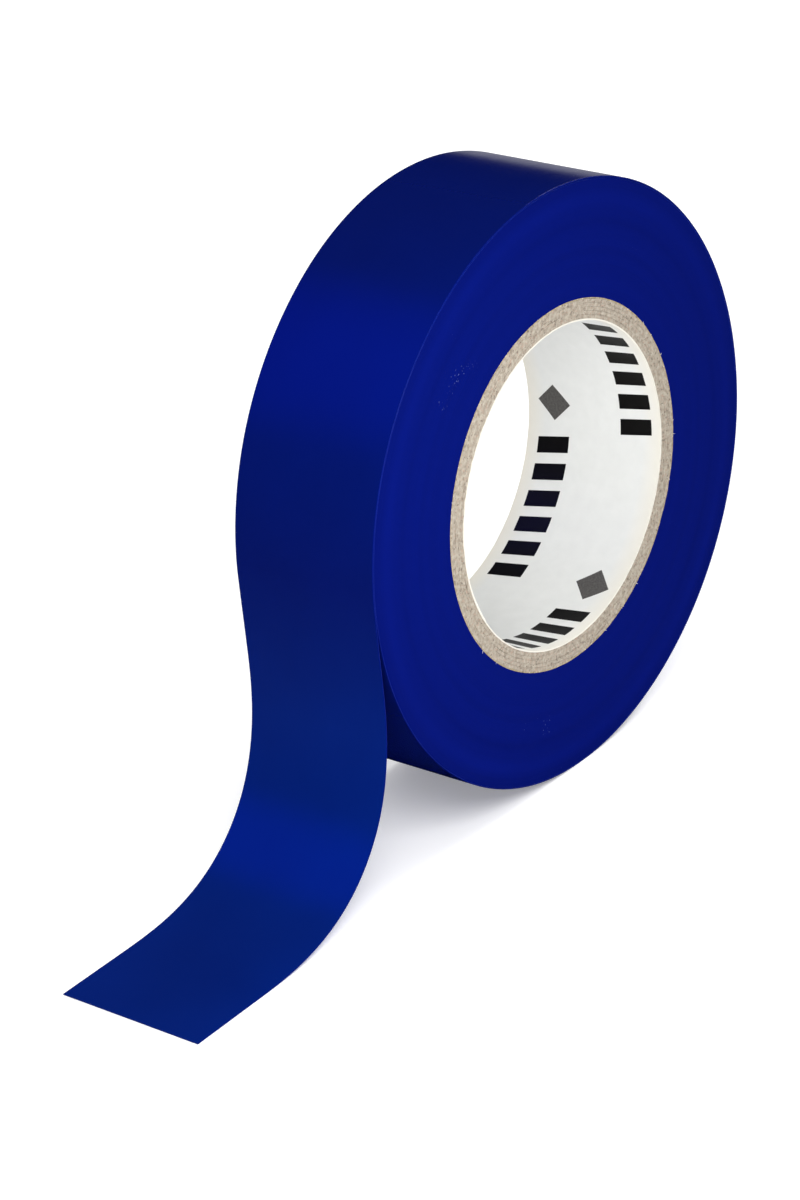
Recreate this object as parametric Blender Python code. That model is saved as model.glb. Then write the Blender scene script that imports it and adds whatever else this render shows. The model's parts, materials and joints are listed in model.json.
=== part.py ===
"""Electrical tape roll, standing on its rim, with its free tail lying on the surface it stands on.

Everything is in metres. +Y runs along the roll's axis, +Z is up, and the tail leaves towards -X.
The origin is on the surface, under the middle of the roll and tail taken together.

The roll is a wound paper core, the wound pack of tape, and the last turn of the tape as its own strip.
The strip goes on into the free tail. It is cut at five hinge lines, so that it can peel and curl.
Each stretch of it is a plastic film with a coat of adhesive on its inner face.
"""

import math

import bmesh
import bpy
from mathutils import Vector

MM = 0.001

# The tape and the core it is wound on
TAPE_WIDTH = 19 * MM
ROLL_RADIUS = 35.3 * MM  # of the outer face at the line where the tail leaves the roll
BORE_RADIUS = 19.05 * MM  # a 1.5 inch bore
FILM = 0.100 * MM
ADHESIVE = 0.026 * MM
COAT_GAP = 0.004 * MM  # between the film and its adhesive
WINDING_GAP = 0.010 * MM  # between one turn and the next
TAPE_THICKNESS = FILM + COAT_GAP + ADHESIVE
WINDING_PITCH = TAPE_THICKNESS + WINDING_GAP

# The core's wall, from the bore outwards: a printed liner, grey boards and a thin wrap
LINER = 0.15 * MM
BOARD = 0.43 * MM
BOARD_COUNT = 5
WRAP = 0.12 * MM
PLY_GAP = 0.02 * MM  # the glue line between two plies

# The free tail: it hangs straight, bends away and ends flat on the surface
HANG_LENGTH = 10.5 * MM
FLAT_LENGTH = 8.7 * MM

# Where curves are divided, and where the strip is cut
TURN_STATIONS = 72
STATION_ANGLE = 360 / TURN_STATIONS
PEEL_ANGLE = STATION_ANGLE / 2  # past nine o'clock, so that a flat side faces straight down
LIFT_ANGLES = (PEEL_ANGLE + 30, PEEL_ANGLE + 60)  # the two hinge lines that the peel can move up to
HANG_STATIONS = 5
BEND_STATIONS = 22
FLAT_STATIONS = 4
TAIL_CUTS = (10, 20)  # stations down the tail that have a hinge line
HINGE_GAP = 0.16 * MM  # the film's inner corners need this room to turn 60 degrees inwards


def linear(channel):
    """One sRGB channel, from 0 to 1, as linear light."""
    return channel / 12.92 if channel <= 0.04045 else ((channel + 0.055) / 1.055) ** 2.4


def make_material(name, hex_colour, roughness):
    material = bpy.data.materials.new(name)
    material.use_nodes = True
    shader = material.node_tree.nodes["Principled BSDF"]
    channels = [int(hex_colour[i : i + 2], 16) / 255 for i in (0, 2, 4)]
    shader.inputs["Base Color"].default_value = (*map(linear, channels), 1)
    shader.inputs["Roughness"].default_value = roughness
    shader.inputs["Metallic"].default_value = 0
    return material


def polar(radius, angle):
    """A point (x, z) from the roll's axis, at an angle in degrees past nine o'clock, over the top."""
    turn = math.radians(angle)
    return Vector((-radius * math.cos(turn), radius * math.sin(turn)))


def winding_radius(angle):
    """The outer face of the tape after an angle past the peel line: one pitch less with each turn."""
    return ROLL_RADIUS - WINDING_PITCH * angle / 360


def turn_angles(first, last):
    """The angles of the stations from first to last, both included."""
    count = round((last - first) / STATION_ANGLE)
    return [first + STATION_ANGLE * i for i in range(count + 1)]


def roll_stations(first, last):
    """Stations (point on the outer face, outward normal) along the tape while it lies on the roll."""
    return [(polar(winding_radius(a), a), polar(1, a)) for a in turn_angles(first, last)]


def bend_heading(share):
    """The tail's heading in degrees from straight down to level, easing in and out of the bend."""
    return 90 * share * share * (3 - 2 * share)


def tail_headings(bend_length):
    """(step length, heading at the step's middle) of each step down the tail."""
    hang = [(HANG_LENGTH / HANG_STATIONS, 0)] * HANG_STATIONS
    step = bend_length / BEND_STATIONS
    bend = [(step, bend_heading((i + 0.5) / BEND_STATIONS)) for i in range(BEND_STATIONS)]
    flat = [(FLAT_LENGTH / FLAT_STATIONS, 90)] * FLAT_STATIONS
    return hang + bend + flat


def tail_stations():
    """Stations down the free tail, whose outer face ends one tape thickness above the surface."""
    start = polar(winding_radius(PEEL_ANGLE), PEEL_ANGLE)
    drop = start.y + AXIS_HEIGHT - TAPE_THICKNESS - HANG_LENGTH
    bend = tail_headings(1)[HANG_STATIONS:-FLAT_STATIONS]
    mean_cosine = sum(step * math.cos(math.radians(heading)) for step, heading in bend)
    steps = tail_headings(drop / mean_cosine)
    points = [start]
    for length, heading in steps:
        turn = math.radians(heading)
        points.append(points[-1] - length * Vector((math.sin(turn), math.cos(turn))))
    headings = [0] + [(a[1] + b[1]) / 2 for a, b in zip(steps, steps[1:])] + [90]
    normals = [polar(1, h) for h in headings]
    return list(zip(points, normals))


def trimmed(stations, at_start, at_end):
    """The stations with half the hinge gap taken off either end, along the first or last step."""
    found = list(stations)
    if at_start:
        (near, normal), (far, _) = found[0], found[1]
        found[0] = (near.lerp(far, HINGE_GAP / 2 / (far - near).length), normal)
    if at_end:
        (near, normal), (far, _) = found[-1], found[-2]
        found[-1] = (near.lerp(far, HINGE_GAP / 2 / (far - near).length), normal)
    return found


def add_band(name, outer, inner, closed, material, parent, origin):
    """A solid between two outlines in the XZ plane, as wide as the tape and centred on Y = 0."""
    shape = bmesh.new()
    rims = [
        [shape.verts.new((p.x - origin.x, -TAPE_WIDTH / 2, p.y - origin.y)) for p in outline]
        for outline in (outer, inner)
    ]
    for i in range(len(outer) if closed else len(outer) - 1):
        j = (i + 1) % len(outer)
        shape.faces.new((rims[0][i], rims[0][j], rims[1][j], rims[1][i]))
    grown = bmesh.ops.extrude_face_region(shape, geom=shape.faces[:])
    far_side = [item for item in grown["geom"] if isinstance(item, bmesh.types.BMVert)]
    bmesh.ops.translate(shape, verts=far_side, vec=(0, TAPE_WIDTH, 0))
    bmesh.ops.recalc_face_normals(shape, faces=shape.faces)
    mesh = bpy.data.meshes.new(name)
    shape.to_mesh(mesh)
    shape.free()
    mesh.materials.append(material)
    mesh.shade_smooth()
    mesh.set_sharp_from_angle(angle=math.radians(30))
    band = bpy.data.objects.new(name, mesh)
    bpy.context.scene.collection.objects.link(band)
    band.parent = parent
    return band


def add_axis(name, point, parent, parent_point):
    """An empty on a joint's axis, at a point (x, z) measured from the roll's axis."""
    axis = bpy.data.objects.new(name, None)
    bpy.context.scene.collection.objects.link(axis)
    axis.parent = parent
    axis.location = (point.x - parent_point.x, 0, point.y - parent_point.y)
    return axis


def add_ring(name, inner_radius, outer_radius, material, roll):
    angles = turn_angles(PEEL_ANGLE, PEEL_ANGLE + 360 - STATION_ANGLE)
    outer = [polar(outer_radius, a) for a in angles]
    inner = [polar(inner_radius, a) for a in angles]
    add_band(name, outer, inner, True, material, roll, Vector((0, 0)))


def add_core(roll):
    """The paper core's plies, one ring inside the next. Returns the core's outer radius."""
    board = make_material("grey_board", "BDB4A4", 0.95)
    plies = [("core_liner", LINER, make_material("liner_paper", "E6E7E4", 0.45))]
    plies += [(f"core_board_ply_{n + 1}", BOARD, board) for n in range(BOARD_COUNT)]
    plies += [("core_outer_wrap", WRAP, make_material("wrap_paper", "A89C87", 0.9))]
    radius = BORE_RADIUS
    for name, thickness, material in plies:
        add_ring(name, radius, radius + thickness, material, roll)
        radius += thickness + PLY_GAP
    return radius


def add_wound_tape(inner_radius, film, roll):
    """Every turn under the last one, as one body whose outside follows the winding's spiral."""
    angles = turn_angles(PEEL_ANGLE, PEEL_ANGLE + 360 - STATION_ANGLE)
    outer = [polar(winding_radius(a + 360), a) for a in angles]
    inner = [polar(inner_radius, a) for a in angles]
    add_band("wound_tape", outer, inner, True, film, roll, Vector((0, 0)))


def add_strip(name, stations, origin, film, adhesive, parent):
    """One stretch of the strip: the film outside, and the adhesive coat on its inner face."""
    layers = (
        (name + "_film", 0, FILM, film),
        (name + "_adhesive", FILM + COAT_GAP, TAPE_THICKNESS, adhesive),
    )
    for layer, top, bottom, material in layers:
        outer = [point - normal * top for point, normal in stations]
        inner = [point - normal * bottom for point, normal in stations]
        add_band(layer, outer, inner, False, material, parent, origin)


def add_tape(core_radius, roll):
    film = make_material("blue_film", "08177A", 0.3)
    adhesive = make_material("blue_adhesive", "0A1A70", 0.2)
    add_wound_tape(core_radius, film, roll)

    lower_lift, upper_lift = LIFT_ANGLES
    last_turn = roll_stations(upper_lift, 360 - PEEL_ANGLE)
    add_strip("last_turn", trimmed(last_turn, True, False), Vector((0, 0)), film, adhesive, roll)

    tail = tail_stations()
    first_cut, second_cut = TAIL_CUTS
    moving = (
        ("lift_upper", roll_stations(lower_lift, upper_lift)[::-1]),
        ("lift_lower", roll_stations(PEEL_ANGLE, lower_lift)[::-1]),
        ("tail_upper", tail[: first_cut + 1]),
        ("tail_middle", tail[first_cut : second_cut + 1]),
        ("tail_end", tail[second_cut:]),
    )
    parent, parent_point = roll, Vector((0, 0))
    for name, stations in moving:
        hinge = stations[0][0]
        parent = add_axis(name + "_axis", hinge, parent, parent_point)
        add_strip(name, trimmed(stations, True, name != "tail_end"), hinge, film, adhesive, parent)
        parent_point = hinge


for old in list(bpy.data.objects):
    bpy.data.objects.remove(old)

LOWEST_ANGLE = 270 - STATION_ANGLE / 2  # the lower edge of the flat that the roll stands on
AXIS_HEIGHT = winding_radius(LOWEST_ANGLE) * math.cos(math.radians(STATION_ANGLE / 2))
RIGHT_REACH = winding_radius(180 - STATION_ANGLE / 2) * math.cos(math.radians(STATION_ANGLE / 2))
TAIL_REACH = -tail_stations()[-1][0].x

roll_axis = bpy.data.objects.new("roll_axis", None)
bpy.context.scene.collection.objects.link(roll_axis)
roll_axis.location = ((TAIL_REACH - RIGHT_REACH) / 2, 0, AXIS_HEIGHT)
core_outer_radius = add_core(roll_axis)
add_tape(core_outer_radius, roll_axis)
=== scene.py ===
# %% [markdown]
# # A roll of electrical tape
#
# The object is one long strip of soft blue PVC film with a coat of adhesive, wound about 97 times round
# a paper core. The roll stands on its rim, and the free end of the tape hangs from nine o'clock, bends
# away and lies flat.
#
# The frame that is loaded here fixes every size, place and joint. This lesson makes the visible surfaces
# around it: each one is a grid of points worked out with numpy from a formula, and each finish is a
# material of nodes.

import json  # noqa: E402
import math  # noqa: E402

import bpy  # noqa: E402
import numpy as np  # noqa: E402
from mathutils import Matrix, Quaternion, Vector  # noqa: E402


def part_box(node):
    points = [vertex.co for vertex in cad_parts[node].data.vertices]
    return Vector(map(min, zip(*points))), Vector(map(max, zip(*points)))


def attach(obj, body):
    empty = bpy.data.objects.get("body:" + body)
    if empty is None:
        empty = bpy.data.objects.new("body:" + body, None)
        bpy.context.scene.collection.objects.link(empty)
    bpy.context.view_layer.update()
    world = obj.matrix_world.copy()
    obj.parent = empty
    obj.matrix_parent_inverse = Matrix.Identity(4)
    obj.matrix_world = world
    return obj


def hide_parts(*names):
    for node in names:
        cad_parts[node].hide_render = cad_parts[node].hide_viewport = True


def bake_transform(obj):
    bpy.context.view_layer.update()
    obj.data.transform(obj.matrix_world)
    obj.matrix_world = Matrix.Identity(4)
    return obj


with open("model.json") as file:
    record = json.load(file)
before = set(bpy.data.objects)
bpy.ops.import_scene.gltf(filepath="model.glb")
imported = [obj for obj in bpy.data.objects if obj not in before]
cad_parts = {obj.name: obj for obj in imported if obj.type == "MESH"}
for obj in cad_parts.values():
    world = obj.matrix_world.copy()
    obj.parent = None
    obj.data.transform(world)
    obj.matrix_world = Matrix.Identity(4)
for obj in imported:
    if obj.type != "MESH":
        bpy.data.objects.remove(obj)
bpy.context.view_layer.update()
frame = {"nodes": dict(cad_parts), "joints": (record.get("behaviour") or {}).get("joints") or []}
MM = 0.001

# %% [markdown]
# ## Sizes
#
# The round nodes of the frame are rings of flats whose corners lie on true circles, so the greatest and
# the least distance of the corners from the roll's axis are the real radii. The hinge of the tail lies
# on the tape's outer face where it leaves the roll, so it gives the roll's radius and the peel line.

# %% Read the sizes from the frame
FILM = 0.100 * MM
COAT_GAP = 0.004 * MM  # between the film and its adhesive
COAT = 0.026 * MM
THICKNESS = FILM + COAT_GAP + COAT
PITCH = THICKNESS + 0.010 * MM  # from one turn to the next

low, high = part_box("core_liner")
AXIS = np.array([(low.x + high.x) / 2, (low.z + high.z) / 2])  # x and z of the roll's axis
HALF_WIDTH = (high.y - low.y) / 2


def ring_radii(node):
    """Inner and outer radius of a round node: the least and greatest distance of a corner from the axis."""
    mesh = frame["nodes"][node].data
    corners = np.empty(len(mesh.vertices) * 3)
    mesh.vertices.foreach_get("co", corners)
    distance = np.hypot(*(corners.reshape(-1, 3)[:, [0, 2]] - AXIS).T)
    return distance.min(), distance.max()


def angle_of(point):
    """A point's angle round the roll, in degrees past nine o'clock, over the top."""
    x, z = point - AXIS
    return math.degrees(math.atan2(z, -x))


HINGES = {joint["child"]: np.array(joint["pos_m"])[[0, 2]] for joint in frame["joints"]}
PEEL = angle_of(HINGES["tail_upper"])
ROLL_RADIUS = np.hypot(*(HINGES["tail_upper"] - AXIS)) + PITCH * PEEL / 360
BORE_RADIUS, _ = ring_radii("core_liner")
_, CORE_RADIUS = ring_radii("core_outer_wrap")
TURNS = (ROLL_RADIUS - CORE_RADIUS) / PITCH
print(f"roll radius {ROLL_RADIUS / MM:.2f} mm, bore {BORE_RADIUS / MM:.2f}, core {CORE_RADIUS / MM:.2f}")
print(f"peel line {PEEL:.1f} degrees past nine o'clock, {TURNS:.1f} turns of tape")

# %% [markdown]
# ## The tape's line
#
# All of the tape that shows is one strip, so one function gives its line: how far along the strip, and
# back comes a point on its outer face and the direction that the face looks in. Distance is counted from
# the peel line, negative back over the roll and positive down the free tail.
#
# On the roll the line is a spiral that loses one pitch a turn. The tail hangs straight, then its heading
# turns from straight down to level by the smooth step 3t^2 - 2t^3, and it ends flat. A soft strip that
# is held at the top and rests at the bottom bends in just this way, slowly at both ends of the bend.

# %% The line of the tape, as a formula
NINE = ROLL_RADIUS * math.radians(PEEL)  # nine o'clock, measured along the tape from the peel line
HANG = 10.5 * MM - NINE  # straight, from nine o'clock down
FLAT = 8.7 * MM


def smooth_step(t):
    """0 below 0, 1 above 1, and 3t^2 - 2t^3 between them."""
    t = np.clip(t, 0, 1)
    return t * t * (3 - 2 * t)


def tail_table(count=4000):
    """Distances down the tail with x, z and heading there, from the sine and cosine of the heading summed."""
    middles = (np.arange(count) + 0.5) / count
    drop = AXIS[1] - THICKNESS - HANG
    bend = drop / np.cos(np.pi / 2 * smooth_step(middles)).mean()
    length = HANG + bend + FLAT
    heading = np.pi / 2 * smooth_step((middles * length - HANG) / bend)
    x = -ROLL_RADIUS - np.concatenate([[0], np.cumsum(np.sin(heading))]) * length / count
    z = -np.concatenate([[0], np.cumsum(np.cos(heading))]) * length / count
    distance = np.linspace(0, length, count + 1)
    return distance, x, z, np.pi / 2 * smooth_step((distance - HANG) / bend)


TAIL = tail_table()
TAIL_END = NINE + TAIL[0][-1]


def tape_line(distance):
    """Points (x, z) on the tape's outer face, and its outward normals, at distances past the peel line."""
    distance = np.asarray(distance, float)
    turn = np.radians(PEEL) - distance / ROLL_RADIUS
    radius = ROLL_RADIUS - PITCH * turn / (2 * np.pi)
    down = np.clip(distance - NINE, 0, None)
    x, z, heading = (np.interp(down, TAIL[0], column) for column in TAIL[1:])
    on_roll = distance <= NINE
    facing = np.where(on_roll, turn, heading)
    normal = np.stack([-np.cos(facing), np.sin(facing)], axis=-1)
    point = np.where(on_roll[..., None], radius[..., None] * normal, np.stack([x, z], axis=-1))
    return AXIS + point, normal


def along(angle):
    """Distance along the tape, from the peel line, of an angle on the roll."""
    return -ROLL_RADIUS * math.radians(angle - PEEL)


print(f"free tail: {TAIL_END / MM:.1f} mm from the peel line")

# %% [markdown]
# ## From a grid of points to a mesh
#
# Every piece is a grid: rows of points along it, and columns round its section. Each cell of the grid
# becomes one four-sided face. A ring closes on itself both ways. A strip closes round its section only,
# and its two ends are closed by faces that join each point of its upper side to the one below it.
#
# The signed volume of the mesh tells whether its faces point out, so a shape that comes out inside out
# is turned round before it is used.

# %% A mesh from a grid
def column_faces(rows, columns, ring):
    """Corner indices of all faces of a grid that is closed round its columns, as a pair of (row, column)."""
    i, j = np.meshgrid(np.arange(rows if ring else rows - 1), np.arange(columns), indexing="ij")
    row = np.stack([i, i, i + 1, i + 1], axis=-1).reshape(-1, 4)
    column = np.stack([j, j + 1, j + 1, j], axis=-1).reshape(-1, 4)
    if not ring:
        k = np.arange(columns // 2 - 1)
        near = np.stack([k + 1, k, columns - 1 - k, columns - 2 - k], axis=-1)
        far = near[:, [1, 0, 3, 2]]
        row = np.concatenate([row, np.zeros_like(near), np.full_like(far, rows - 1)])
        column = np.concatenate([column, near, far])
    return row, column


def signed_volume(points, faces):
    """The volume within closed faces, by summing the tetrahedra from the first corner to each triangle."""
    a, b, c, d = (points[faces[:, k]] - points[0] for k in range(4))
    return (np.cross(b - a, c - a) * a).sum() + (np.cross(c - a, d - a) * a).sum()


def grid_mesh(name, points, uv, slots, ring=False, sharp=40):
    """An object from a grid of points (rows, columns, 3), closed round its columns.

    uv is a grid of (u, v) in metres with one column more, and one row more on a ring, so that a pattern
    runs over the seam. slots gives the material of each column's faces. sharp is in degrees.
    """
    rows, columns = points.shape[:2]
    row, column = column_faces(rows, columns, ring)
    faces = (row % rows) * columns + column % columns
    flat = points.reshape(-1, 3)
    if signed_volume(flat, faces) < 0:
        row, column, faces = row[:, ::-1], column[:, ::-1], faces[:, ::-1]
    mesh = bpy.data.meshes.new(name)
    mesh.vertices.add(len(flat))
    mesh.vertices.foreach_set("co", flat.astype(np.float32).ravel())
    mesh.loops.add(faces.size)
    mesh.loops.foreach_set("vertex_index", faces.astype(np.int32).ravel())
    mesh.polygons.add(len(faces))
    mesh.polygons.foreach_set("loop_start", np.arange(0, faces.size, 4, dtype=np.int32))
    mesh.polygons.foreach_set("material_index", np.asarray(slots, np.int32)[column.min(axis=1) % columns])
    layer = mesh.uv_layers.new(name="surface")
    layer.data.foreach_set("uv", uv[row, column].astype(np.float32).ravel())
    mesh.update(calc_edges=True)
    mesh.validate()
    mesh.shade_smooth()
    mesh.set_sharp_from_angle(angle=math.radians(sharp))
    made = bpy.data.objects.new(name, mesh)
    bpy.context.scene.collection.objects.link(made)
    return made


def grain(shape, size, seed):
    """Random bumps on a grid that wraps round both ways, with a spread of one.

    White noise is blurred by a bell curve, size cells wide each way, as a product in the frequency domain.
    """
    spectrum = np.fft.fft2(np.random.default_rng(seed).standard_normal(shape))
    for axis, cells in enumerate(size):
        bell = np.exp(-2 * (np.pi * np.fft.fftfreq(shape[axis]) * cells) ** 2)
        spectrum = spectrum * (bell[:, None] if axis == 0 else bell)
    bumps = np.fft.ifft2(spectrum).real
    return bumps / bumps.std()


print("grid helpers ready")

# %% [markdown]
# ## Building a material
#
# A colour is written as the sRGB hex value that a colour picker shows, and the shader wants linear
# light, so one function turns it round. One more function adds a node: it takes the node's kind, its
# settings, and what goes into its inputs, which is a number, a colour or another node. A pattern's scale
# is the inverse of the real size of its features.

# %% Colour and node helpers
def linear(hex_colour):
    """An sRGB hex colour as linear RGBA."""
    channels = np.array([int(hex_colour[i : i + 2], 16) / 255 for i in (0, 2, 4)])
    light = np.where(channels <= 0.04045, channels / 12.92, ((channels + 0.055) / 1.055) ** 2.4)
    return (*light, 1)


def size(millimetres):
    """The scale of a pattern whose features are this large."""
    return 1 / (millimetres * MM)


def add(tree, kind, settings=None, inputs=None, output=None):
    """Adds a node, sets it, links or sets its inputs, and returns an output: the named one or the first."""
    node = tree.nodes.new("ShaderNode" + kind)
    for name, value in (settings or {}).items():
        setattr(node, name, value)
    for key, value in (inputs or {}).items():
        live = [socket for socket in node.inputs if not socket.is_unavailable]
        socket = live[key] if isinstance(key, int) else next(s for s in live if s.name == key)
        if isinstance(value, bpy.types.NodeSocket):
            tree.links.new(value, socket)
        else:
            socket.default_value = value
    outputs = [socket for socket in node.outputs if not socket.is_unavailable]
    return next(s for s in outputs if output in (None, s.name))


def start_material(name, **constants):
    """A new material with its node tree and shader, whose constant inputs are set by name."""
    material = bpy.data.materials.new(name)
    material.use_nodes = True
    shader = material.node_tree.nodes["Principled BSDF"]
    for key, value in constants.items():
        shader.inputs[key.replace("_", " ")].default_value = value
    return material, material.node_tree, shader


def between(tree, factor, first, second):
    """The mix of two colours (hex text or sockets) by a factor."""
    colours = [linear(c) if isinstance(c, str) else c for c in (first, second)]
    return add(tree, "Mix", {"data_type": "RGBA"}, {"Factor": factor, "A": colours[0], "B": colours[1]})


print("material helpers ready")

# %% [markdown]
# ## The film's face
#
# The tape's backing is plasticised PVC, calendered: squeezed between hot polished rollers. That gives a
# soft gloss with a faint orange peel, and very fine streaks along the tape. The pigment is a deep blue.
# One layer on its own lets a little light through, and that light is painted in: the free tail's colour is a
# touch lighter and greener than the roll's.
# Real PVC reflects white. Here its gloss is tinted blue, except at a low angle, because that keeps the
# highlights as deep as the rest of the roll.
#
# The pattern follows the strip's own map: u is the distance along the tape and v the place across it,
# so streaks follow the tape round the roll and down the tail with no break.

# %% Finish: calendered PVC film
GLOSS_TINT = (0.0, 0.02, 1.0, 1)
LIT_THROUGH_AFTER = 18 * MM  # down the tail, where the colour has changed from wound tape to a single layer, painted lighter for the light through it
PEEL_HEIGHT = 0.0025 * MM  # of the orange peel


def make_film():
    material, tree, shader = start_material("calendered_pvc_film", IOR=1.54, Specular_Tint=GLOSS_TINT)
    uv = add(tree, "TexCoord", output="UV")
    cloud = add(tree, "TexNoise", {}, {"Vector": uv, "Scale": size(11), "Detail": 2.0})
    deep = between(tree, cloud, "031157", "031361")
    place = add(tree, "SeparateXYZ", {}, {0: uv}, "X")
    on_tail = add(tree, "MapRange", {}, {"Value": place, "From Min": 0.0, "From Max": LIT_THROUGH_AFTER})
    # painted light: the tail's lighter, greener blue stands for light shining through the single layer
    lit_through = between(tree, cloud, "031C69", "032073")
    colour = between(tree, on_tail, deep, lit_through)
    tree.links.new(colour, shader.inputs["Base Color"])

    stretched = add(tree, "Mapping", {}, {"Vector": uv, "Scale": (0.02, 1, 1)})
    streaks = add(tree, "TexNoise", {}, {"Vector": stretched, "Scale": size(0.5), "Detail": 3.0})
    rough = add(tree, "MapRange", {}, {"Value": streaks, "To Min": 0.15, "To Max": 0.25})
    tree.links.new(rough, shader.inputs["Roughness"])

    peel = add(tree, "TexNoise", {}, {"Vector": uv, "Scale": size(0.45), "Detail": 1.0})
    height = add(tree, "Math", {"operation": "MULTIPLY_ADD"}, {0: streaks, 1: 0.5, 2: peel})
    bump = add(tree, "Bump", {}, {"Strength": 1.0, "Distance": PEEL_HEIGHT, "Height": height})
    tree.links.new(bump, shader.inputs["Normal"])
    return material


film_finish = make_film()
print("made", film_finish.name)

# %% [markdown]
# ## The cut edges
#
# A wide log of tape is sliced into rolls with a razor, so the side of a roll is the cut edges of all its
# turns side by side. Cut PVC is duller than the calendered face. Fine rings show where the turns differ
# by a few hundredths of a millimetre, with tiny scuffs and specks of pale dust. One spot has more dust,
# where the side has rubbed on its box.
#
# The rings depend on the distance from the roll's axis, which three Math nodes work out from the object
# coordinates. The scuffs run round the roll: their pattern reads the direction from the axis coarsely
# and the radius finely.

# %% Finish: razor-cut PVC edges
RUBBED_SPOT = (-20 * MM, -9.5 * MM, 22 * MM)  # from the middle of the roll
RUBBED_INNER = 2 * MM  # the dust is thickest this near the spot
RUBBED_OUTER = 9 * MM  # and ordinary this far from it


def axis_radius(tree, point):
    """The distance from the roll's axis, from centred coordinates."""
    apart = add(tree, "SeparateXYZ", {}, {0: point}, "X")
    x, z = apart, apart.node.outputs["Z"]
    squared = add(tree, "Math", {"operation": "MULTIPLY"}, {0: x, 1: x})
    both = add(tree, "Math", {"operation": "MULTIPLY_ADD"}, {0: z, 1: z, 2: squared})
    return add(tree, "Math", {"operation": "SQRT"}, {0: both})


def centred(tree):
    """Object coordinates measured from the roll's axis."""
    place = add(tree, "TexCoord", output="Object")
    return add(tree, "Mapping", {}, {"Vector": place, "Location": (-AXIS[0], 0, -AXIS[1])})


def make_cut_edges():
    material, tree, shader = start_material("razor_cut_pvc_edges", IOR=1.54, Specular_IOR_Level=0.005)
    point = centred(tree)
    radius = axis_radius(tree, point)
    ring_settings = {"noise_dimensions": "1D"}
    fine = add(tree, "TexNoise", ring_settings, {"W": radius, "Scale": size(0.28), "Detail": 2.0})
    broad = add(tree, "TexNoise", ring_settings, {"W": radius, "Scale": size(2.4), "Detail": 1.0})
    rings = add(tree, "Math", {"operation": "MULTIPLY_ADD"}, {0: fine, 1: 0.4, 2: broad})
    cloud = add(tree, "TexNoise", {}, {"Vector": point, "Scale": size(14), "Detail": 2.0})
    tone = add(tree, "MapRange", {}, {"Value": rings, "From Min": 0.4, "From Max": 1.0})
    ringed = between(tree, tone, "020E5E", "03126D")
    colour = between(tree, cloud, ringed, "031064")

    around = add(tree, "VectorMath", {"operation": "NORMALIZE"}, {0: point})
    coarse = add(tree, "VectorMath", {"operation": "SCALE"}, {0: around, "Scale": 6.0})
    outward = add(tree, "Math", {"operation": "MULTIPLY"}, {0: radius, 1: size(0.5)})
    polar = add(tree, "VectorMath", {"operation": "ADD"}, {0: coarse, 1: outward})
    scuff = add(tree, "TexNoise", {}, {"Vector": polar, "Scale": 1.0, "Detail": 4.0})
    rough = add(tree, "MapRange", {}, {"Value": scuff, "To Min": 0.45, "To Max": 0.62})
    tree.links.new(rough, shader.inputs["Roughness"])

    dust = add(tree, "TexNoise", {}, {"Vector": point, "Scale": size(0.22), "Detail": 1.0})
    where = add(tree, "TexNoise", {}, {"Vector": point, "Scale": size(4), "Detail": 1.0})
    away = add(tree, "VectorMath", {"operation": "DISTANCE"}, {0: point, 1: RUBBED_SPOT}, "Value")
    rub_range = {"From Min": RUBBED_OUTER, "From Max": RUBBED_INNER, "To Max": 0.1}
    rubbed = add(tree, "MapRange", {}, {"Value": away, **rub_range})
    chance = add(tree, "Math", {"operation": "MULTIPLY_ADD"}, {0: dust, 1: where, 2: rubbed})
    speck = add(tree, "MapRange", {}, {"Value": chance, "From Min": 0.55, "From Max": 0.62, "To Max": 0.5})
    tree.links.new(between(tree, speck, colour, "7F8FD8"), shader.inputs["Base Color"])

    bump = add(tree, "Bump", {}, {"Strength": 1.0, "Distance": 0.004 * MM, "Height": scuff})
    tree.links.new(bump, shader.inputs["Normal"])
    return material


edge_finish = make_cut_edges()
print("made", edge_finish.name)

# %% [markdown]
# ## The adhesive
#
# The adhesive is a thin coat of rubber and resin, spread wet on the film. It is clear, so the blue of
# the film shows through it, and it is wetter and more uneven than the film's face. Being pulled off the
# turn below leaves fine cross ridges, called chatter, about a millimetre apart.

# %% Finish: rubber adhesive coat
def make_adhesive():
    material, tree, shader = start_material("rubber_adhesive_coat", IOR=1.50, Specular_IOR_Level=0.4)
    uv = add(tree, "TexCoord", output="UV")
    cloud = add(tree, "TexNoise", {}, {"Vector": uv, "Scale": size(5), "Detail": 3.0})
    tree.links.new(between(tree, cloud, "0A1F86", "12309C"), shader.inputs["Base Color"])
    chatter_map = add(tree, "Mapping", {}, {"Vector": uv, "Scale": (1, 0.12, 1)})
    chatter = add(tree, "TexNoise", {}, {"Vector": chatter_map, "Scale": size(0.9), "Detail": 3.0})
    rough = add(tree, "MapRange", {}, {"Value": chatter, "To Min": 0.22, "To Max": 0.5})
    tree.links.new(rough, shader.inputs["Roughness"])
    bump = add(tree, "Bump", {}, {"Strength": 1.0, "Distance": 0.02 * MM, "Height": chatter})
    tree.links.new(bump, shader.inputs["Normal"])
    return material


adhesive_finish = make_adhesive()
print("made", adhesive_finish.name)
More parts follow.
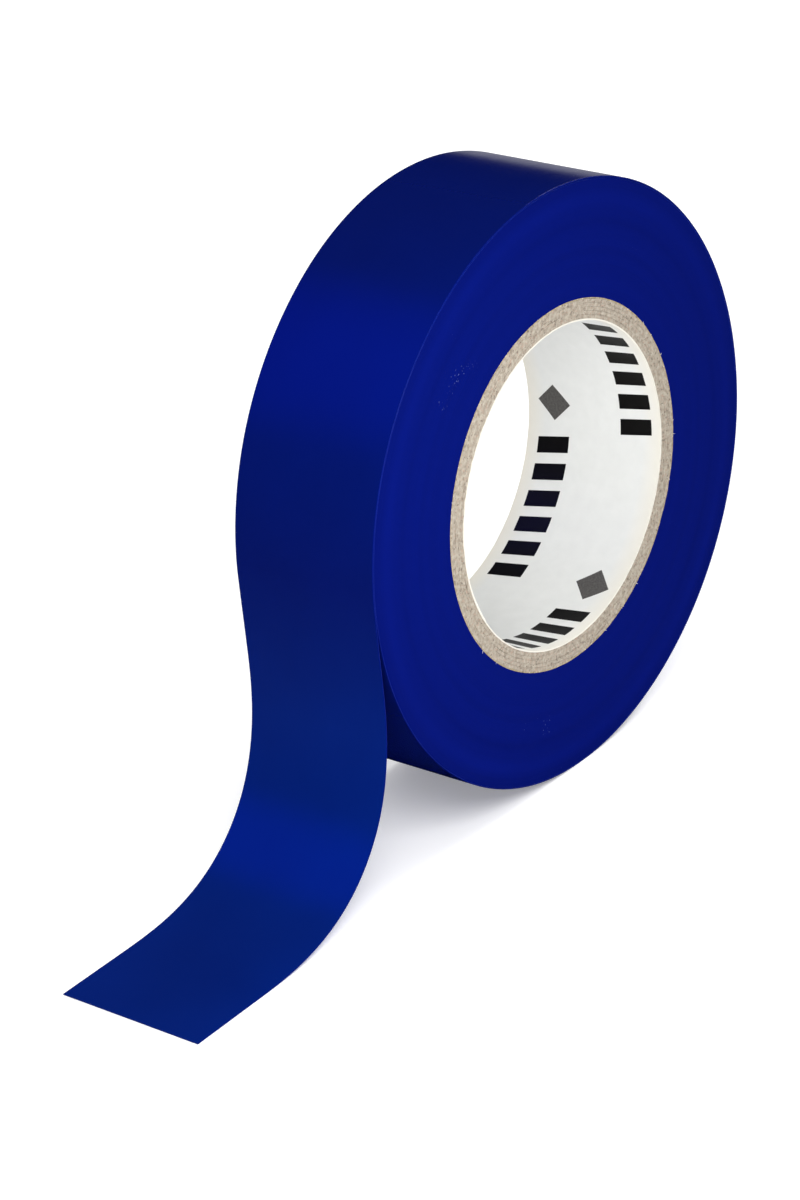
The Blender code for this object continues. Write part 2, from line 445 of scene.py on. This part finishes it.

# %% [markdown]
# ## The tape that shows
#
# The section of the strip is a flat bar with its edges just rounded off: 19 mm wide and 0.1 mm thick,
# with the adhesive as a second, thinner bar under it. It is carried along the tape's line. Three small
# movements keep it from looking like sheet metal: the face ripples by a hundredth of a millimetre, as
# soft film does over what lies under it. The edges wander a little where turns don't quite line up. The
# free tail cups across its width, because it was wound under tension.
#
# Where a joint crosses the strip, a piece runs from the middle of one body to the middle of the next.

# %% Make a stretch of tape
EDGE_ROUND = 0.02 * MM
EDGE_COLUMN = 0.08 * MM  # a column this near the edge keeps the rounding from shading the whole face
FACE_COLUMNS = 15
RIPPLE = 0.012 * MM
CUP = 0.25 * MM  # how far the edges of the hanging tape stand back
WANDER = 0.012 * MM


def section(top, bottom, half_width):
    """Points (across, depth) round a flat bar: near edge, upper face, far edge, and back along below."""
    inset = half_width - EDGE_ROUND
    bevel = min(EDGE_ROUND, (bottom - top) / 3)
    middle = np.linspace(-1, 1, FACE_COLUMNS - 2) * (inset - EDGE_COLUMN)
    face = np.concatenate([[-inset], middle, [inset]])
    across = np.concatenate([[-half_width], face, [half_width]])
    upper = np.concatenate([[top + bevel], np.full(FACE_COLUMNS, top), [top + bevel]])
    lower = np.concatenate([[bottom - bevel], np.full(FACE_COLUMNS, bottom), [bottom - bevel]])
    return np.concatenate([across, across[::-1]]), np.concatenate([upper, lower])


def ripple(distance, across):
    """How far the tape's face stands proud: long soft waves along it and across it."""
    along_waves = np.sin(distance / (3.1 * MM) + 1.3) + np.sin(distance / (1.9 * MM) + across / (6 * MM))
    across_waves = np.sin(across / (2.6 * MM) + distance / (9 * MM))
    return (along_waves + across_waves) / 3 * RIPPLE


def cupping(distance, across):
    """The free tail cups slightly: its edges stand back where it hangs, and are level where it lies flat."""
    hanging = smooth_step(distance / (15 * MM)) * smooth_step((TAIL_END - FLAT - distance) / (20 * MM))
    return -CUP * hanging * (across / HALF_WIDTH) ** 2


def wander(distance):
    """How far the strip lies to one side, from how evenly it was wound and unwound."""
    return WANDER * (np.sin(distance / (17 * MM)) + np.sin(distance / (7.3 * MM) + 2))


def make_stretch(name, first, last, top, bottom, finishes, step=0.5 * MM):
    """The strip from one distance to another, between two depths below the tape's outer face."""
    distance = np.linspace(first, last, int((last - first) / step) + 2)
    point, normal = tape_line(distance)
    across, depth = section(top, bottom, HALF_WIDTH)
    sunk = depth - ripple(distance[:, None], across) - cupping(distance[:, None], across)
    points = np.empty((len(distance), len(across), 3))
    points[..., 0] = point[:, :1] - normal[:, :1] * sunk
    points[..., 1] = across + wander(distance)[:, None]
    points[..., 2] = point[:, 1:] - normal[:, 1:] * sunk
    round_again = np.append(across, across[0])
    uv = np.stack(np.broadcast_arrays(distance[:, None], round_again), axis=-1)
    is_edge = np.abs(np.diff(round_again)) < 2 * EDGE_ROUND
    made = grid_mesh(name, points, uv, is_edge.astype(int), sharp=50)
    for finish in finishes:
        made.data.materials.append(finish)
    return made


LAYERS = (
    ("film", 0, FILM, (film_finish, edge_finish), "tape_film"),
    ("adhesive", FILM + COAT_GAP, THICKNESS, (adhesive_finish, adhesive_finish), "tape_adhesive"),
)
print(f"strip {2 * HALF_WIDTH / MM:.1f} mm wide, film {FILM / MM} mm, adhesive {COAT / MM} mm")

# %% [markdown]
# The last turn rides on the roll. It starts on top of the roll, goes down the far side and under, and
# carries on for half a turn beneath the tape that peels, so that peeling uncovers real tape.

# %% The last turn
TOP = 90.0
UNDER_END = 538.5  # half a turn past the peel line, just before the step in the pack below it

for layer, top, bottom, finishes, slot in LAYERS:
    turn = make_stretch(f"last_turn_{layer}_strip", along(UNDER_END), along(TOP), top, bottom, finishes)
    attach(turn, "roll")
    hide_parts(f"last_turn_{layer}")
    print(turn.name, len(turn.data.polygons), "faces")

# %% [markdown]
# Five stretches follow, one across each hinge. Each ends half way along a body, where it meets its neighbour.

# %% The tape that peels, hangs and lies flat
BODIES = ["roll", "lift_upper", "lift_lower", "tail_upper", "tail_middle", "tail_end"]


def hinge_distance(body):
    """How far along the tape a body's hinge lies, as the nearest point of the tape's line."""
    tries = np.linspace(along(TOP), TAIL_END, 40001)
    gap = np.hypot(*(tape_line(tries)[0] - HINGES[body]).T)
    return tries[gap.argmin()]


hinge_at = [hinge_distance(body) for body in BODIES[1:]]
cuts = [along(TOP)] + [(a + b) / 2 for a, b in zip(hinge_at, hinge_at[1:])] + [TAIL_END]
for body, parent, hinge, first, last in zip(BODIES[1:], BODIES, hinge_at, cuts, cuts[1:]):
    for layer, top, bottom, finishes, slot in LAYERS:
        piece = make_stretch(f"{body}_{layer}_strip", first, last, top, bottom, finishes, 0.25 * MM)
        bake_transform(piece)
        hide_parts(f"{body}_{layer}")
    print(f"{body}: {first / MM:.1f} to {last / MM:.1f} mm, hinge at {hinge / MM:.1f} mm")

# %% [markdown]
# ## The wound pack
#
# Under the last turn are some 96 more. They could be made as one long strip, but that takes a million
# faces for what shows only as fine rings. So the pack is one ring, whose sides have a crown and a groove
# for each turn. A groove is a few thousandths of a millimetre deep, and neighbouring turns share slow
# shifts of one or two hundredths, where the winding tension changed.
#
# The pack's outside is the next turn of the same spiral. It has a step one tape thick, where that turn
# goes under itself, at three o'clock below the last turn, where it never shows.

# %% Make the wound pack
PACK_STATIONS = 240
GROOVE = 0.006 * MM
DRIFT = 0.014 * MM
SIDE_INSET = 0.02 * MM  # the sides lie this far inside the tape's width, so that bumps stay within it


def make_pack(name, inner_radius):
    """A ring whose outer radius follows the spiral, and whose sides have two rows of points to a turn."""
    angle = 180 + 360 * np.arange(PACK_STATIONS) / PACK_STATIONS
    outer_radius = ROLL_RADIUS - PITCH * (angle + 360) / 360 + 0.5 * (PITCH - THICKNESS)
    steps = 2 * int(TURNS) - 2
    share = np.linspace(0, 1, steps + 1)
    crown = np.where(np.arange(steps + 1) % 2 == 0, -GROOVE, 0)
    sides = []
    for seed in (11, 12):
        slow = grain((PACK_STATIONS, 2 * steps), (30, 9), seed)[:, : steps + 1] * DRIFT
        sides.append(HALF_WIDTH - SIDE_INSET + crown + slow * np.sin(np.pi * share) ** 0.5)
    radius = inner_radius + (outer_radius[:, None] - inner_radius) * share
    face = np.linspace(-0.97, 0.97, 7) * HALF_WIDTH
    outer = np.broadcast_to(outer_radius[:, None], (PACK_STATIONS, len(face)))
    across = np.broadcast_to(face, outer.shape)
    ring_radius = np.concatenate([radius, outer, radius[:, ::-1]], axis=1)
    ring_across = np.concatenate([-sides[0], across, sides[1][:, ::-1]], axis=1)
    turn = np.radians(angle)[:, None]
    points = np.stack(
        [AXIS[0] - ring_radius * np.cos(turn), ring_across, AXIS[1] + ring_radius * np.sin(turn)], axis=-1
    )
    columns = points.shape[1]
    u = -ROLL_RADIUS * np.radians(180 + 360 * np.arange(PACK_STATIONS + 1) / PACK_STATIONS)
    v = np.append(ring_across[0], ring_across[0, 0])
    uv = np.stack(np.broadcast_arrays(u[:, None], v), axis=-1)
    on_side = np.ones(columns, int)
    on_side[steps + 1 : steps + len(face)] = 0
    made = grid_mesh(name, points, uv, on_side, ring=True)
    made.data.materials.append(film_finish)
    made.data.materials.append(edge_finish)
    return made


pack_inner_radius, _ = ring_radii("wound_tape")
pack = make_pack("wound_tape_pack", pack_inner_radius)
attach(pack, "roll")
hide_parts("wound_tape")
print(pack.name, len(pack.data.polygons), "faces")

# %% [markdown]
# ## The core's board
#
# The core is a tube of grey chipboard strips glued in a spiral, then sawn or sliced to length. Its end
# shows recycled fibre: a pale warm grey with specks of darker, pinkish and greenish fibre, quite matt
# and slightly fluffy. The outermost ply is a thinner, browner kraft paper.

# %% Finish: sliced chipboard, and kraft paper
def make_board(name, pale, dark, speck_colour, other_speck):
    material, tree, shader = start_material(name, IOR=1.5, Specular_IOR_Level=0.2, Roughness=0.95)
    point = centred(tree)
    clumps = add(tree, "TexNoise", {}, {"Vector": point, "Scale": size(0.5), "Detail": 4.0})
    tone = add(tree, "MapRange", {}, {"Value": clumps, "From Min": 0.3, "From Max": 0.7})
    colour = between(tree, tone, dark, pale)
    for scale, threshold, hue in ((0.32, 0.60, speck_colour), (0.24, 0.60, other_speck)):
        fibres = add(tree, "TexNoise", {}, {"Vector": point, "Scale": size(scale), "Detail": 2.0})
        above = {"From Min": threshold, "From Max": threshold + 0.1}
        speck = add(tree, "MapRange", {}, {"Value": fibres, **above})
        colour = between(tree, speck, colour, hue)
    tree.links.new(colour, shader.inputs["Base Color"])
    fluff = add(tree, "TexNoise", {}, {"Vector": point, "Scale": size(0.16), "Detail": 3.0})
    bump = add(tree, "Bump", {}, {"Strength": 1.0, "Distance": 0.05 * MM, "Height": fluff})
    tree.links.new(bump, shader.inputs["Normal"])
    return material


board_finish = make_board("sliced_grey_chipboard", "BAB1A2", "918678", "776C62", "AE9585")
kraft_finish = make_board("kraft_wrap_paper", "B9AA8C", "9A8A6C", "7C6C54", "D8D0BE")
print("made", board_finish.name, "and", kraft_finish.name)

# %% [markdown]
# Each ply is its own ring. Its wall follows the CAD ring, and its two ends are rough: random bumps half
# a millimetre across, and each ply stands a few hundredths higher or lower than the next, because board
# springs back after the knife.

# %% Make the plies
PLY_STATIONS = 480
END_COLUMNS = 6


def make_ply(name, node, roughness, seed, finish, inner_wall=None):
    """A ring with rough ends. Its section runs outwards over one end and back inwards over the other."""
    inner_radius, outer_radius = ring_radii(node)
    angle = 2 * np.pi * np.arange(PLY_STATIONS) / PLY_STATIONS
    inner = np.full(PLY_STATIONS, inner_radius) if inner_wall is None else inner_wall(angle, inner_radius)
    share = np.linspace(0, 1, END_COLUMNS)
    radius = inner[:, None] + (outer_radius - inner[:, None]) * share
    level = np.random.default_rng(seed).uniform(-1, 0.2, 2) * roughness
    bumps = [grain((PLY_STATIONS, 4 * END_COLUMNS), (1.2, 1.5), seed + k)[:, :END_COLUMNS] for k in (0, 1)]
    near, far = (HALF_WIDTH - SIDE_INSET + level[k] + np.minimum(bumps[k], 1) * roughness for k in (0, 1))
    ring_radius = np.concatenate([radius, radius[:, ::-1]], axis=1)
    across = np.concatenate([-near, far[:, ::-1]], axis=1)
    turn = angle[:, None]
    points = np.stack(
        [AXIS[0] - ring_radius * np.cos(turn), across, AXIS[1] + ring_radius * np.sin(turn)], axis=-1
    )
    u = inner_radius * 2 * np.pi * np.arange(PLY_STATIONS + 1) / PLY_STATIONS
    v = np.append(across[0], across[0, 0])
    uv = np.stack(np.broadcast_arrays(u[:, None], v), axis=-1)
    made = grid_mesh(name, points, uv, np.zeros(points.shape[1], int), ring=True)
    made.data.materials.append(finish)
    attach(made, "roll")
    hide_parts(node)
    return made


plies = sorted(name for name in frame["nodes"] if name.startswith("core_board_ply"))
for number, node in enumerate(plies):
    ply = make_ply(f"{node}_ring", node, 0.03 * MM, 20 + 2 * number, board_finish)
wrap = make_ply("core_outer_wrap_ring", "core_outer_wrap", 0.015 * MM, 40, kraft_finish)
print(len(plies), "board plies and", wrap.name)

# %% [markdown]
# ## The printed liner
#
# The innermost ply is a thin coated white paper, printed on its face. It is smooth with a faint sheen,
# and a little warmer towards its cut edges. It is lapped where its ends meet, so one end lies over
# the other as a low step along the bore. The print here is a plain pattern with no letters: rows of
# slanting bars with a grey diamond after each group, running round the bore with a slight slant.
#
# The pattern is arithmetic on the liner's own map: u runs round the bore and v along it.

# %% Finish: coated paper with a plain print
ROW_PITCH = 11.7 * MM
ROW_AT = 5.7 * MM  # the middle of the farther row, along the bore
BAR_HEIGHT = 4.4 * MM
BAR_PITCH = 3.3 * MM
BAR_WIDTH = 2.0 * MM
BAR_SLANT = math.tan(math.radians(10))
GROUP_PITCH = 41.9 * MM
GROUP_LENGTH = 6 * BAR_PITCH
GROUP_START = 249  # degrees past nine o'clock, on the farther row
DIAMOND_AT = 22.8 * MM
DIAMOND_HALF = 2.3 * MM


def make_liner_paper():
    material, tree, shader = start_material("coated_liner_paper", IOR=1.5, Specular_IOR_Level=0.15)

    def calc(operation, *values):
        """One Math node."""
        return add(tree, "Math", {"operation": operation}, dict(enumerate(values)))

    uv = add(tree, "TexCoord", output="UV")
    u = add(tree, "SeparateXYZ", {}, {0: uv}, "X")
    v = u.node.outputs["Y"]
    from_row = calc("ADD", v, ROW_PITCH / 2 - ROW_AT)
    row_number = calc("FLOOR", calc("DIVIDE", from_row, ROW_PITCH))
    from_middle = calc("SUBTRACT", calc("FLOORED_MODULO", from_row, ROW_PITCH), ROW_PITCH / 2)
    start = BORE_RADIUS * math.radians(GROUP_START)
    run = calc("SUBTRACT", calc("MULTIPLY_ADD", row_number, GROUP_PITCH / 2, start), u)
    in_group = calc("FLOORED_MODULO", run, GROUP_PITCH)

    leaning = calc("FLOORED_MODULO", calc("MULTIPLY_ADD", from_middle, BAR_SLANT, run), GROUP_PITCH)
    in_bar = calc("LESS_THAN", calc("FLOORED_MODULO", leaning, BAR_PITCH), BAR_WIDTH)
    in_row = calc("LESS_THAN", calc("ABSOLUTE", from_middle), BAR_HEIGHT / 2)
    in_length = calc("LESS_THAN", leaning, GROUP_LENGTH)
    bars = calc("MULTIPLY", calc("MULTIPLY", in_row, in_bar), in_length)

    sideways = calc("ABSOLUTE", calc("SUBTRACT", in_group, DIAMOND_AT))
    diamond = calc("LESS_THAN", calc("ADD", sideways, calc("ABSOLUTE", from_middle)), DIAMOND_HALF)

    edge = calc("ABSOLUTE", v)
    warm = add(tree, "MapRange", {}, {"Value": edge, "From Min": 7 * MM, "From Max": HALF_WIDTH})
    fibre = add(tree, "TexNoise", {}, {"Vector": uv, "Scale": size(1.6), "Detail": 4.0})
    paper = between(tree, warm, between(tree, fibre, "D9DAD8", "E4E5E3"), "E3DFD4")
    ink_wear = add(tree, "TexNoise", {}, {"Vector": uv, "Scale": size(0.25), "Detail": 3.0})
    grey = between(tree, ink_wear, "33312F", "6A6866")
    printed = between(tree, bars, between(tree, diamond, paper, grey), "0E0D0D")
    tree.links.new(printed, shader.inputs["Base Color"])
    rough = add(tree, "MapRange", {}, {"Value": fibre, "To Min": 0.34, "To Max": 0.5})
    tree.links.new(rough, shader.inputs["Roughness"])
    bump = add(tree, "Bump", {}, {"Strength": 1.0, "Distance": 0.004 * MM, "Height": ink_wear})
    tree.links.new(bump, shader.inputs["Normal"])
    return material


liner_finish = make_liner_paper()
print("made", liner_finish.name)

# %% The liner, with its lap
LAP_ANGLE = 330  # degrees past nine o'clock
LAP_LENGTH = 5 * MM
PAPER = 0.09 * MM


def lapped_wall(angle, radius):
    """The bore's radius: one paper thickness less over the lap, with a sharp step at one end of it."""
    past = ((angle - math.radians(LAP_ANGLE)) % (2 * np.pi)) * radius
    lap = np.where(past < LAP_LENGTH, 1 - smooth_step(past / LAP_LENGTH - 0.3), 0)
    waves = np.sin(3 * angle + 1) + np.sin(5 * angle + 2.2)
    return radius - PAPER * lap - 0.01 * MM * (waves + 2)


liner = make_ply("core_liner_sleeve", "core_liner", 0.008 * MM, 50, liner_finish, lapped_wall)
print(liner.name, len(liner.data.polygons), "faces")

# %% [markdown]
# ## Loose fibres
#
# The knife that slices the log tears the board a little, so short pale fibres stand up along the core's
# outer edge, over the blue. Each is a thin tapered hair with a bend in it. All of them are one mesh, and
# each has only a few dozen faces.

# %% Make the fibres
def make_fibres(name, count, seed):
    """Bent tapered hairs at random places round the core's outer edge, half of them on each side.

    A hair is a quadratic curve from its root: out along its own direction, and bending sideways with
    the square of the distance. Its section is a pentagon that shrinks to almost nothing at the tip.
    """
    rng = np.random.default_rng(seed)
    steps, sides = 6, 5
    t = np.linspace(0, 1, steps)[None, :, None]
    angle = rng.uniform(0, 2 * np.pi, count)
    side = np.where(np.arange(count) % 2 == 0, -1.0, 1.0)
    out = np.stack([-np.cos(angle), np.zeros(count), np.sin(angle)], axis=-1)
    round_roll = np.stack([np.sin(angle), np.zeros(count), np.cos(angle)], axis=-1)
    away = np.stack([np.zeros(count), side, np.zeros(count)], axis=-1)
    root = CORE_RADIUS - rng.uniform(0.0, 0.12, count) * MM
    lean = rng.uniform(-0.9, 0.9, (count, 1))
    direction = out * rng.uniform(0.3, 1, (count, 1)) + round_roll * lean + away * 0.12
    direction /= np.linalg.norm(direction, axis=1, keepdims=True)
    curl = (round_roll * rng.uniform(-0.3, 0.3, (count, 1)) + away * 0.05)[:, None, :]
    length = rng.uniform(0.12, 0.42, (count, 1, 1)) * MM
    foot = out * root[:, None] + away * (HALF_WIDTH - 0.01 * MM)
    line = foot[:, None, :] + length * (direction[:, None, :] * t + curl * t * t)
    thick = rng.uniform(0.018, 0.04, (count, 1, 1)) * MM * (1 - 0.8 * t**2)
    binormal = np.cross(direction, away)
    binormal /= np.linalg.norm(binormal, axis=1, keepdims=True)
    third = np.cross(direction, binormal)
    phase = 2 * np.pi * np.arange(sides) / sides
    ring = (
        binormal[:, None, None, :] * np.cos(phase)[:, None] + third[:, None, None, :] * np.sin(phase)[:, None]
    )
    points = line[:, :, None, :] + ring * thick[..., None]
    points = points + np.array([AXIS[0], 0, AXIS[1]])
    return fibre_mesh(name, points)


def fibre_mesh(name, points):
    """One mesh of many closed tubes: points (tube, step, side, 3), side faces and a cap at either end."""
    count, steps, sides = points.shape[:3]
    i, j = np.meshgrid(np.arange(steps - 1), np.arange(sides), indexing="ij")
    k = (j + 1) % sides
    wall = np.stack([i * sides + j, i * sides + k, (i + 1) * sides + k, (i + 1) * sides + j], axis=-1)
    first = np.arange(count) * steps * sides
    walls = (wall.reshape(1, -1, 4) + first[:, None, None]).reshape(-1, 4)
    near = np.arange(sides)[::-1] + first[:, None]
    far = np.arange(sides) + (steps - 1) * sides + first[:, None]
    mesh = bpy.data.meshes.new(name)
    mesh.from_pydata(points.reshape(-1, 3), [], [*walls.tolist(), *near.tolist(), *far.tolist()])
    mesh.shade_smooth()
    made = bpy.data.objects.new(name, mesh)
    bpy.context.scene.collection.objects.link(made)
    return made


def make_fibre_paper():
    material, tree, shader = start_material(
        "torn_paper_fibre", IOR=1.5, Specular_IOR_Level=0.2, Roughness=0.9
    )
    tone = add(tree, "TexNoise", {}, {"Vector": centred(tree), "Scale": size(0.8)})
    tree.links.new(between(tree, tone, "CFCAC0", "F2EFE8"), shader.inputs["Base Color"])
    return material


fibres = make_fibres("core_edge_fibres", 36, 5)
fibres.data.materials.append(make_fibre_paper())
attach(fibres, "roll")
print(fibres.name, len(fibres.data.polygons), "faces")

# %% [markdown]
# ## Floor and light
#
# The floor is plain and almost white. Even light comes from all round. A large lamp stands on the right,
# and two small ones at the front left shade the roll's side from left to right.
# A bright card that lies behind the roll, face up, is seen by the top of the rim at a low angle, and puts
# a pale highlight there.
#
# Gloss sees none of the even light and none of the floor, which keeps the blue deep. It sees only the
# lamps and one soft blue card, behind on the left, which lies as a broad band across the rim and again
# across the bend of the tail, where the tape faces the same way. No real studio can hide its light from
# gloss alone. It is done here for the depth of the colour.

# %% Floor
FLOOR_LEVEL = -0.036 * MM  # just under the rim, which is smooth here and has flats in the frame
FLOOR_HALF = 4.0

floor_mesh = bpy.data.meshes.new("floor")
corner_signs = ((-1, -1), (1, -1), (1, 1), (-1, 1))
floor_corners = [(x * FLOOR_HALF, y * FLOOR_HALF, FLOOR_LEVEL) for x, y in corner_signs]
floor_mesh.from_pydata(floor_corners, [], [(0, 1, 2, 3)])
floor = bpy.data.objects.new("floor", floor_mesh)
bpy.context.scene.collection.objects.link(floor)
floor_finish, floor_tree, floor_shader = start_material("matt_white_floor", Roughness=0.9)
floor_shader.inputs["Base Color"].default_value = linear("F8F8F8")
floor_shader.inputs["Specular IOR Level"].default_value = 0.0
floor_shader.inputs["Emission Color"].default_value = (1, 1, 1, 1)
floor_shader.inputs["Emission Strength"].default_value = 0.25
floor_mesh.materials.append(floor_finish)
floor.visible_glossy = False
print("floor at", FLOOR_LEVEL)


# %% Lights
AIM = Vector((0.0001, 0.0018, 0.0258))  # the middle of the object, which lamps and camera look at
AMBIENT = 0.63
BACKDROP = 0.83  # what the camera sees past the floor, about as bright as the floor's far edge
CARD_SIDE = Vector((-0.455, 0.582, 0.675))  # the direction of the blue card
CARD_HALF_ANGLE = math.radians(31)
CARD_GLOW = 0.8
CARD_BLUE = "0020FF"


def add_light(name, place, width, height, power, target=None):
    """A rectangular area light, hidden from the camera, aimed at the object's middle or another target."""
    light = bpy.data.lights.new(name, "AREA")
    light.shape = "RECTANGLE"
    light.size, light.size_y = width, height
    light.energy = power
    lamp = bpy.data.objects.new(name, light)
    lamp.location = place
    lamp.rotation_mode = "QUATERNION"
    lamp.rotation_quaternion = (Vector(target or AIM) - Vector(place)).to_track_quat("-Z", "Y")
    lamp.visible_camera = False
    bpy.context.scene.collection.objects.link(lamp)
    return lamp


add_light("right_softbox", (0.69, 0.0, 0.43), 0.45, 0.45, 4.0)
add_light("side_softbox", (-0.045, -0.065, 0.085), 0.05, 0.05, 0.040)
add_light("fill_softbox", (-0.08, -0.08, 0.13), 0.08, 0.08, 0.08)
add_light("floor_card", (0.95, 0.70, 0.002), 1.6, 1.4, 2.6, target=(0.95, 0.70, 1.0))

bpy.context.scene.view_settings.view_transform = "Standard"
print("lights ready")

# %% The light all round, and the card that only gloss sees
world = bpy.data.worlds.new("studio")
bpy.context.scene.world = world
world.use_nodes = True
studio = world.node_tree
surroundings = studio.nodes["Background"]
seen = add(studio, "LightPath", output="Is Camera Ray")
reflected = seen.node.outputs["Is Glossy Ray"]
bright = add(studio, "MapRange", {}, {"Value": seen, "To Min": AMBIENT, "To Max": BACKDROP})
toward = add(studio, "TexCoord", output="Generated")
facing = add(studio, "VectorMath", {"operation": "DOT_PRODUCT"}, {0: toward, 1: CARD_SIDE}, "Value")
card_range = {"From Min": math.cos(CARD_HALF_ANGLE), "From Max": 1.0, "To Min": -AMBIENT, "To Max": CARD_GLOW}
card = add(studio, "MapRange", {"interpolation_type": "SMOOTHSTEP"}, {"Value": facing, **card_range})
strength = add(studio, "Math", {"operation": "MULTIPLY_ADD"}, {0: reflected, 1: card, 2: bright})
studio.links.new(strength, surroundings.inputs["Strength"])
studio.links.new(between(studio, reflected, "FFFFFF", CARD_BLUE), surroundings.inputs["Color"])
print("world ready")

# %% [markdown]
# ## Camera
#
# A long lens from the left and a little above, leaning slightly to one side. The direction is built from
# three angles, and the distance sets how much of the frame the roll fills.

# %% Camera
AZIMUTH = math.radians(-50.167)
ELEVATION = math.radians(26.283)
LEAN = math.radians(5.113)
DISTANCE = 0.430

back = Vector(
    (
        math.sin(AZIMUTH) * math.cos(ELEVATION),
        -math.cos(AZIMUTH) * math.cos(ELEVATION),
        math.sin(ELEVATION),
    )
)
lens = bpy.data.cameras.new("camera")
lens.lens = 114.717
lens.sensor_width = 36
lens.clip_start = 0.01
camera = bpy.data.objects.new("camera", lens)
camera.location = AIM + back * DISTANCE
camera.rotation_mode = "QUATERNION"
camera.rotation_quaternion = (-back).to_track_quat("-Z", "Y") @ Quaternion((0, 0, 1), -LEAN)
bpy.context.scene.collection.objects.link(camera)
bpy.context.scene.camera = camera
print("camera at", [round(x, 4) for x in camera.location])
